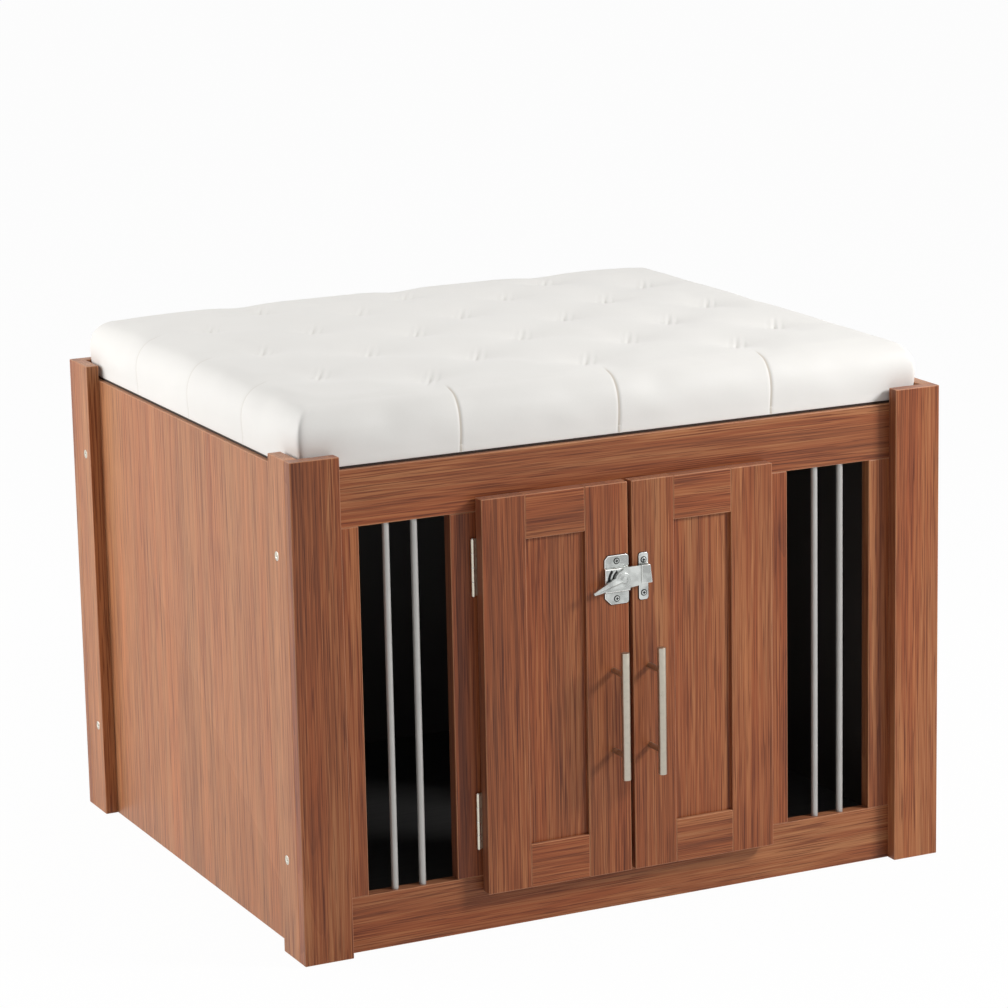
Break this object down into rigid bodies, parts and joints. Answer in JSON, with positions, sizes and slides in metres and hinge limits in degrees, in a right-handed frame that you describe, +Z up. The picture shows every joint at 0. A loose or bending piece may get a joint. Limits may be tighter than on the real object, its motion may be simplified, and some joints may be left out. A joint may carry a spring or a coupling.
{
  "type": "dog crate end table",
  "caption": "Cabinet dog crate with barred front windows, framed double doors on butt hinges, cam latch, bar handles, L-shaped corner posts and a lift-off tufted cushion top.",
  "frame": {"origin": "on the ground under the middle of the whole, handles included", "axes": "+Z up, -Y out through the doors, +X to the right seen from the front"},
  "size_m": [0.836, 0.7494, 0.645],
  "materials": {
    "walnut_laminate": "satin walnut-look laminate on board, grain along each piece",
    "grey_rod": "satin grey paint on steel rod",
    "plated_steel": "nickel-plated steel",
    "brushed_nickel": "brushed nickel, lengthwise",
    "bright_zinc": "bright zinc plate, slightly cloudy",
    "plywood": "black-stained plywood",
    "faux_leather": "white faux leather, fine grain, soft sheen"
  },
  "bodies": {
    "carcass": {"post_front_left_face_board": "walnut_laminate", "post_front_left_side_board": "walnut_laminate", "post_front_right_face_board": "walnut_laminate", "post_front_right_side_board": "walnut_laminate", "post_rear_left_face_board": "walnut_laminate", "post_rear_left_side_board": "walnut_laminate", "post_rear_right_face_board": "walnut_laminate", "post_rear_right_side_board": "walnut_laminate", "side_panel_left": "walnut_laminate", "side_panel_right": "walnut_laminate", "back_panel": "walnut_laminate", "frame_bottom_rail": "walnut_laminate", "frame_top_rail": "walnut_laminate", "frame_outer_stile_left": "walnut_laminate", "frame_inner_stile_left": "walnut_laminate", "frame_outer_stile_right": "walnut_laminate", "frame_inner_stile_right": "walnut_laminate", "window_rod_left_outer": "grey_rod", "window_rod_left_inner": "grey_rod", "window_rod_right_outer": "grey_rod", "window_rod_right_inner": "grey_rod", "bolt_front_left_lower": "plated_steel", "bolt_front_left_upper": "plated_steel", "bolt_front_right_lower": "plated_steel", "bolt_front_right_upper": "plated_steel", "bolt_rear_left_lower": "plated_steel", "bolt_rear_left_upper": "plated_steel", "bolt_rear_right_lower": "plated_steel", "bolt_rear_right_upper": "plated_steel", "floor_panel": "walnut_laminate", "floor_cleat_left": "walnut_laminate", "floor_cleat_right": "walnut_laminate", "hinge_left_lower_frame_leaf": "plated_steel", "hinge_left_upper_frame_leaf": "plated_steel", "hinge_right_lower_frame_leaf": "plated_steel", "hinge_right_upper_frame_leaf": "plated_steel"},
    "left_door": {"door_left_hinge_stile": "walnut_laminate", "door_left_meeting_stile": "walnut_laminate", "door_left_bottom_rail": "walnut_laminate", "door_left_top_rail": "walnut_laminate", "door_left_panel": "walnut_laminate", "handle_left": "brushed_nickel", "hinge_left_lower_door_leaf": "plated_steel", "hinge_left_upper_door_leaf": "plated_steel", "latch_body": "bright_zinc", "latch_rivet": "plated_steel"},
    "right_door": {"door_right_hinge_stile": "walnut_laminate", "door_right_meeting_stile": "walnut_laminate", "door_right_bottom_rail": "walnut_laminate", "door_right_top_rail": "walnut_laminate", "door_right_panel": "walnut_laminate", "handle_right": "brushed_nickel", "hinge_right_lower_door_leaf": "plated_steel", "hinge_right_upper_door_leaf": "plated_steel", "latch_keeper": "bright_zinc"},
    "latch_lever": {"latch_cam": "bright_zinc"},
    "seat": {"seat_board": "plywood", "cushion": "faux_leather"}
  },
  "joints": [
    {"name": "left_door_hinge", "type": "hinge", "parent": "carcass", "child": "left_door", "pos_m": [-0.1925, -0.3243, 0.283], "axis": [0, 0, -1], "range_deg": [0, 110]},
    {"name": "right_door_hinge", "type": "hinge", "parent": "carcass", "child": "right_door", "pos_m": [0.1925, -0.3243, 0.283], "axis": [0, 0, 1], "range_deg": [0, 110]},
    {"name": "latch_turn", "type": "hinge", "parent": "left_door", "child": "latch_lever", "pos_m": [-0.0125, -0.3397, 0.4005], "axis": [0, 1, 0], "range_deg": [0, 95]},
    {"name": "seat_lift", "type": "slide", "parent": "carcass", "child": "seat", "axis": [0, 0, 1], "range_m": [0, 0.25]}
  ]
}
